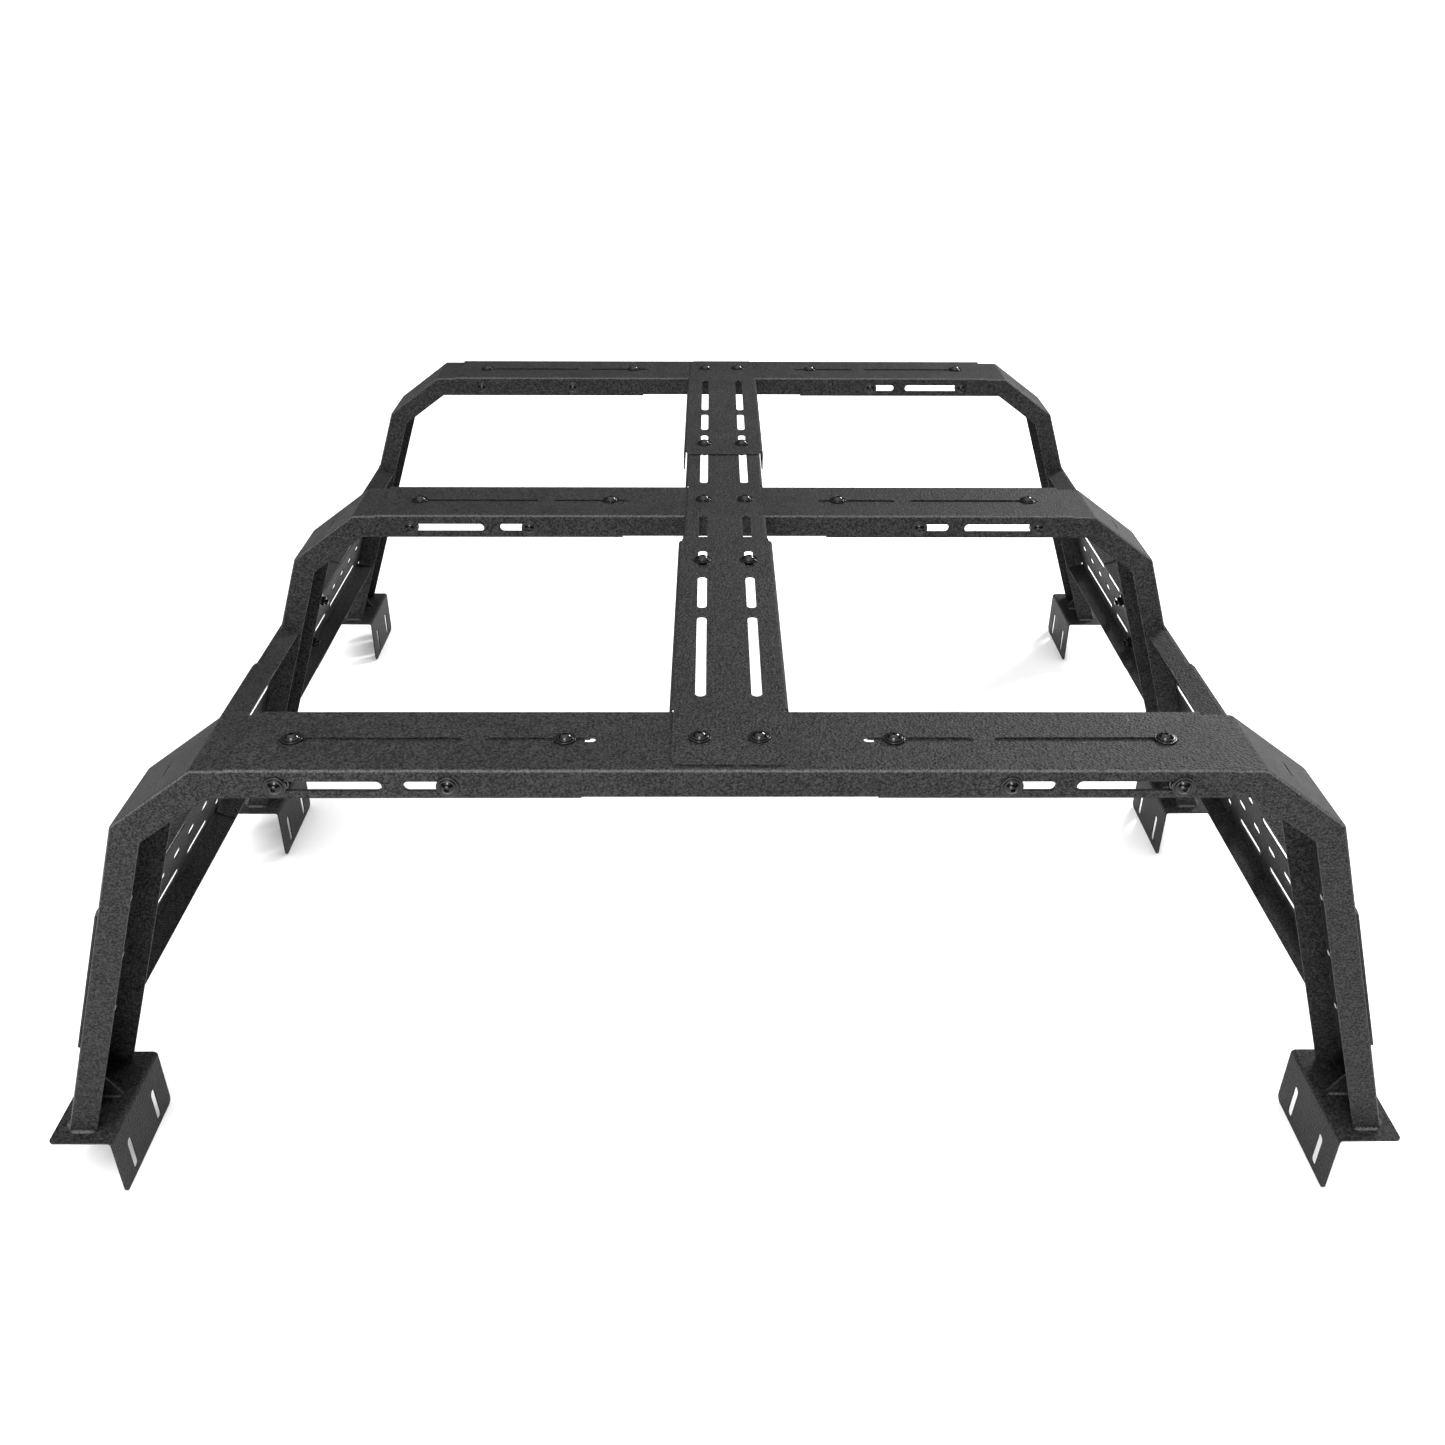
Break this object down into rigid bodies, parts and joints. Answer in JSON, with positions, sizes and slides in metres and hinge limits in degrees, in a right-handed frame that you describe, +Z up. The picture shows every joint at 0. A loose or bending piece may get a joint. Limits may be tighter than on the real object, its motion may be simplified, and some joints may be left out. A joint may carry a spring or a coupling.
{
  "type": "ladder rack",
  "caption": "Bolt-on truck bed ladder rack: bent channel hoops, a slotted spine along the top and slotted side panels between the legs, all adjustable for width and length.",
  "frame": {"origin": "centre of the footprint, at the lower edge of the foot flanges", "axes": "+Z up, +Y from the front hoop to the rear hoop, X across the bed"},
  "size_m": [1.506, 1.4386, 0.5699],
  "materials": {
    "powder_coat": "textured satin",
    "black_hardware": "gloss"
  },
  "bodies": {
    "mid_frame": {"crossbar_mid": "powder_coat", "spine_plate_mid": "powder_coat", "screws_mid_frame": "black_hardware", "washers_mid_frame": "black_hardware", "nuts_mid_frame": "black_hardware"},
    "front_frame": {"crossbar_front": "powder_coat", "spine_plate_front": "powder_coat", "screws_front_frame": "black_hardware", "washers_front_frame": "black_hardware", "nuts_front_frame": "black_hardware"},
    "rear_frame": {"crossbar_rear": "powder_coat", "spine_plate_rear": "powder_coat", "screws_rear_frame": "black_hardware", "washers_rear_frame": "black_hardware", "nuts_rear_frame": "black_hardware"},
    "leg_assembly_front_left": {"leg_front_left": "powder_coat", "foot_front_left": "powder_coat", "gusset_front_left": "powder_coat", "side_panel_front_left": "powder_coat", "screws_leg_front_left": "black_hardware", "washers_leg_front_left": "black_hardware", "nuts_leg_front_left": "black_hardware"},
    "leg_assembly_front_right": {"leg_front_right": "powder_coat", "foot_front_right": "powder_coat", "gusset_front_right": "powder_coat", "side_panel_front_right": "powder_coat", "screws_leg_front_right": "black_hardware", "washers_leg_front_right": "black_hardware", "nuts_leg_front_right": "black_hardware"},
    "leg_assembly_mid_left": {"leg_mid_left": "powder_coat", "foot_mid_left": "powder_coat", "gusset_mid_left": "powder_coat", "side_panel_mid_left": "powder_coat", "screws_leg_mid_left": "black_hardware", "washers_leg_mid_left": "black_hardware", "nuts_leg_mid_left": "black_hardware"},
    "leg_assembly_mid_right": {"leg_mid_right": "powder_coat", "foot_mid_right": "powder_coat", "gusset_mid_right": "powder_coat", "side_panel_mid_right": "powder_coat", "screws_leg_mid_right": "black_hardware", "washers_leg_mid_right": "black_hardware", "nuts_leg_mid_right": "black_hardware"},
    "leg_assembly_rear_left": {"leg_rear_left": "powder_coat", "foot_rear_left": "powder_coat", "gusset_rear_left": "powder_coat", "side_panel_rear_left": "powder_coat", "screws_leg_rear_left": "black_hardware", "washers_leg_rear_left": "black_hardware", "nuts_leg_rear_left": "black_hardware"},
    "leg_assembly_rear_right": {"leg_rear_right": "powder_coat", "foot_rear_right": "powder_coat", "gusset_rear_right": "powder_coat", "side_panel_rear_right": "powder_coat", "screws_leg_rear_right": "black_hardware", "washers_leg_rear_right": "black_hardware", "nuts_leg_rear_right": "black_hardware"}
  },
  "joints": [
    {"name": "front_frame_slide", "type": "slide", "parent": "mid_frame", "child": "front_frame", "axis": [0, 1, 0], "range_m": [0, 0.09]},
    {"name": "rear_frame_slide", "type": "slide", "parent": "mid_frame", "child": "rear_frame", "axis": [0, -1, 0], "range_m": [0, 0.09]},
    {"name": "leg_mid_left_slide", "type": "slide", "parent": "mid_frame", "child": "leg_assembly_mid_left", "axis": [1, 0, 0], "range_m": [0, 0.023]},
    {"name": "leg_front_left_slide", "type": "slide", "parent": "front_frame", "child": "leg_assembly_front_left", "axis": [1, 0, 0], "range_m": [0, 0.023]},
    {"name": "leg_rear_left_slide", "type": "slide", "parent": "rear_frame", "child": "leg_assembly_rear_left", "axis": [1, 0, 0], "range_m": [0, 0.023]},
    {"name": "leg_mid_right_slide", "type": "slide", "parent": "mid_frame", "child": "leg_assembly_mid_right", "axis": [-1, 0, 0], "range_m": [0, 0.023]},
    {"name": "leg_front_right_slide", "type": "slide", "parent": "front_frame", "child": "leg_assembly_front_right", "axis": [-1, 0, 0], "range_m": [0, 0.023]},
    {"name": "leg_rear_right_slide", "type": "slide", "parent": "rear_frame", "child": "leg_assembly_rear_right", "axis": [-1, 0, 0], "range_m": [0, 0.023]}
  ],
  "couplings": [
    {"joint": "leg_front_left_slide", "follows": "leg_mid_left_slide", "ratio": 1},
    {"joint": "leg_rear_left_slide", "follows": "leg_mid_left_slide", "ratio": 1},
    {"joint": "leg_front_right_slide", "follows": "leg_mid_right_slide", "ratio": 1},
    {"joint": "leg_rear_right_slide", "follows": "leg_mid_right_slide", "ratio": 1}
  ]
}
